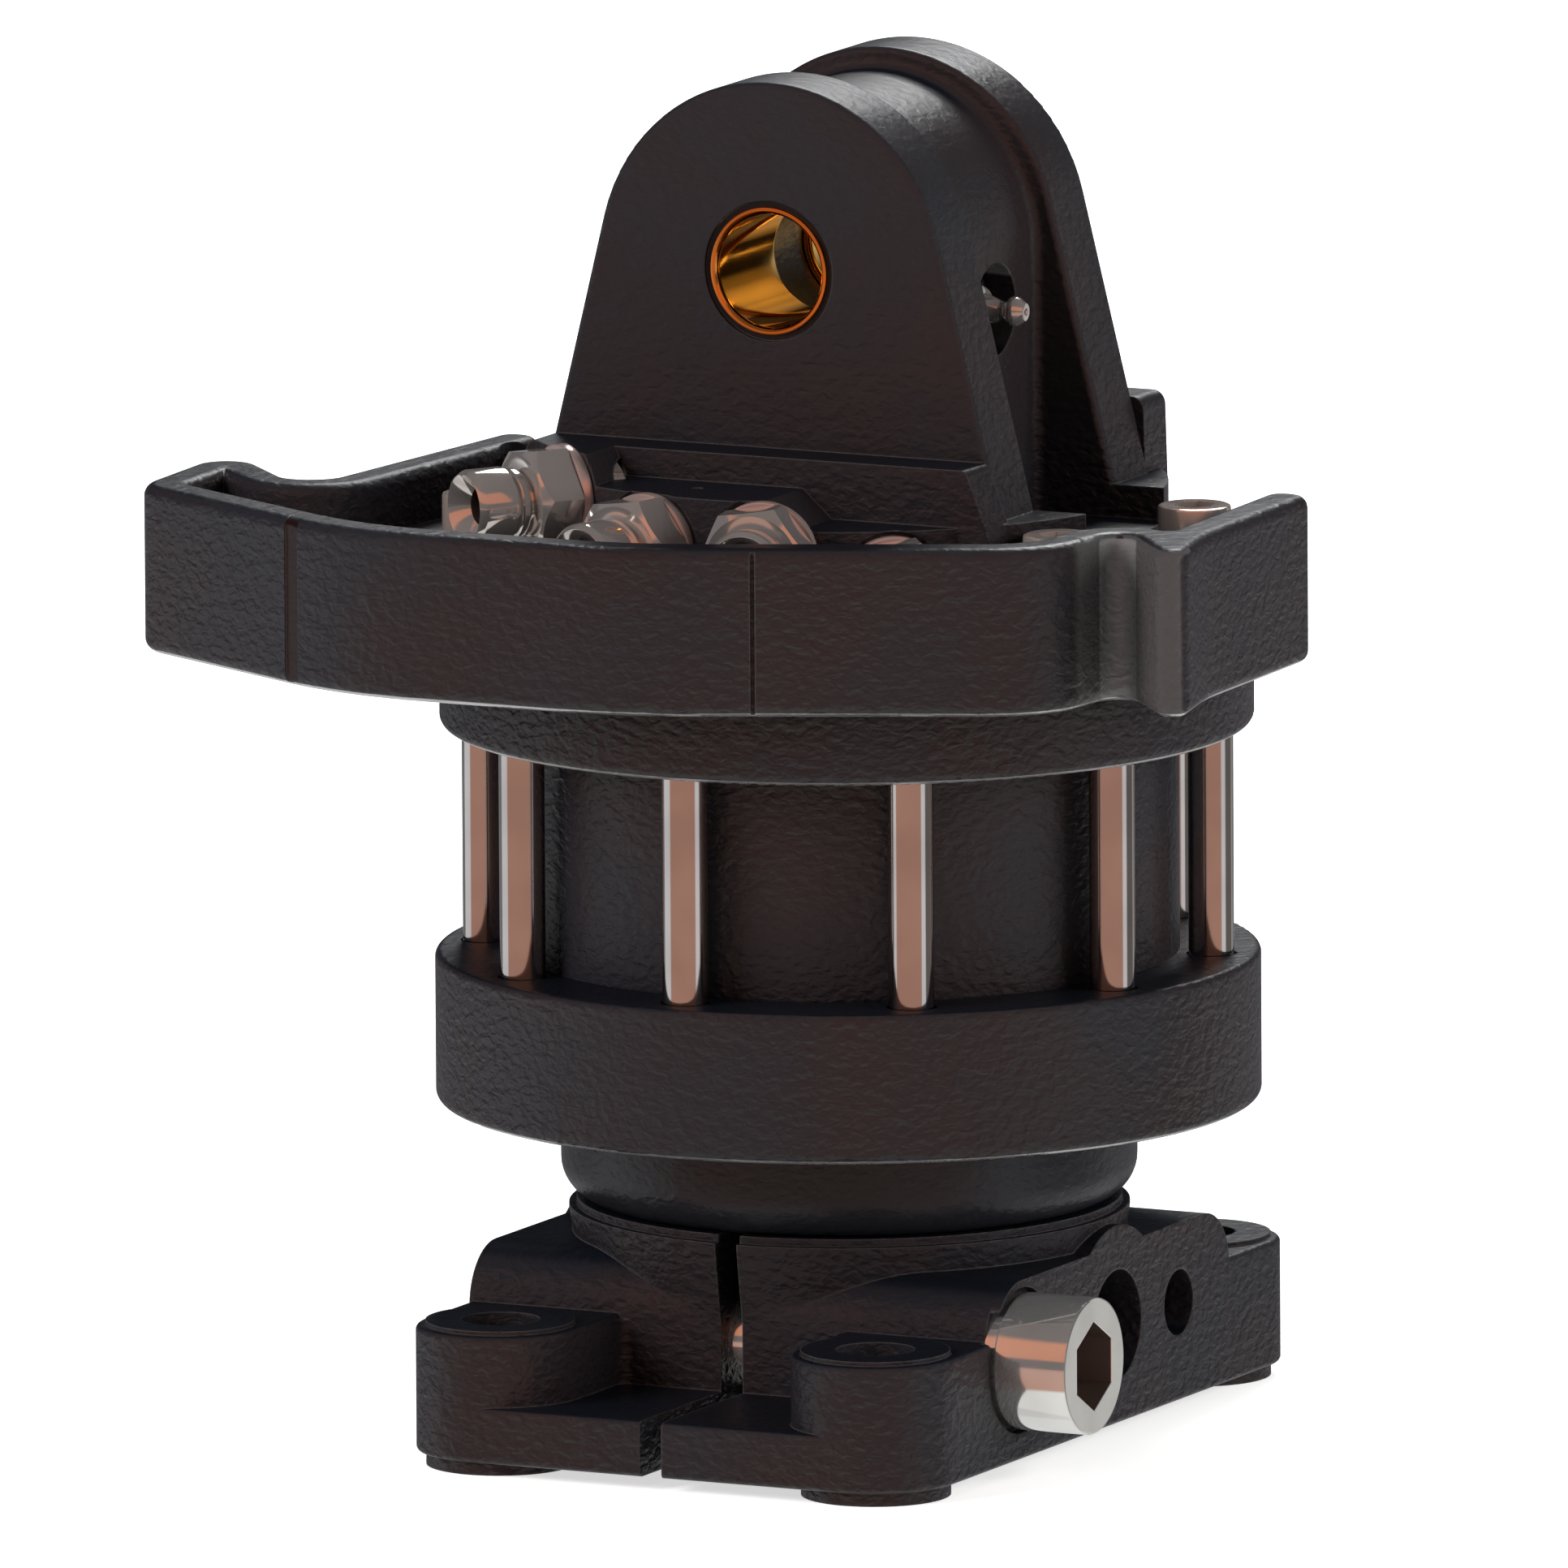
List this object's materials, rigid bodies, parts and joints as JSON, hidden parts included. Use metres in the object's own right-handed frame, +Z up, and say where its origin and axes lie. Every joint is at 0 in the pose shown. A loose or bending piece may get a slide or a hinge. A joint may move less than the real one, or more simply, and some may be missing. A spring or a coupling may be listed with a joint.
{
  "type": "hydraulic rotator",
  "caption": "Hanger-type hydraulic vane rotator with a pin lug, cast hose guard, hose nipples, tie-screwed motor body and a split clamp foot that turns without limit.",
  "frame": {"origin": "centre of the four foot bolt holes, on the underside of the foot's pads", "axes": "+Z up along the rotation axis towards the pin lug, -Y towards the hose nipples, the pin bore runs along Y"},
  "size_m": [0.2496, 0.2091, 0.3004],
  "materials": {
    "black_casting": "near-black paint over a fine sand-cast surface",
    "plated_screw": "plated steel with a soft polish",
    "plated_fitting": "bright plated steel",
    "bronze_bush": "machined bronze",
    "seal_rubber": "black nitrile rubber",
    "inner_steel": "ground steel, out of sight inside the motor"
  },
  "bodies": {
    "stator": {"hanger_head": "black_casting", "pin_bush_front": "bronze_bush", "pin_bush_rear": "bronze_bush", "grease_nipple": "plated_fitting", "hose_nipple_1": "plated_fitting", "hose_nipple_2": "plated_fitting", "hose_nipple_3": "plated_fitting", "hose_nipple_4": "plated_fitting", "bonded_washers": "plated_fitting", "shelf_screws": "plated_screw", "rear_deck_screws": "plated_screw", "upper_flange": "black_casting", "stator_ring": "black_casting", "lower_flange": "black_casting", "tie_screws": "plated_screw", "dowel_pins": "inner_steel", "flange_o_rings": "seal_rubber", "head_o_ring": "seal_rubber", "upper_bush": "bronze_bush", "lower_bush": "bronze_bush", "shaft_seal": "seal_rubber", "lower_race": "inner_steel"},
    "bearing_cage": {"roller_cage": "inner_steel", "rollers": "inner_steel"},
    "rotor": {"drive_shaft": "black_casting", "rotor_core": "inner_steel", "rotor_keys": "inner_steel", "vanes": "inner_steel", "vane_springs": "inner_steel", "tab_washer": "inner_steel", "lock_nut": "inner_steel", "spigot_rings": "seal_rubber", "upper_race": "inner_steel", "foot_clamp": "black_casting", "clamp_screw": "plated_screw"}
  },
  "joints": [
    {"name": "rotor_spin", "type": "hinge", "parent": "stator", "child": "rotor", "pos_m": [0, 0, 0.1], "axis": [0, 0, 1], "continuous": true},
    {"name": "cage_spin", "type": "hinge", "parent": "stator", "child": "bearing_cage", "pos_m": [0, 0, 0.095], "axis": [0, 0, 1], "continuous": true}
  ],
  "couplings": [
    {"joint": "cage_spin", "follows": "rotor_spin", "ratio": 0.5}
  ]
}
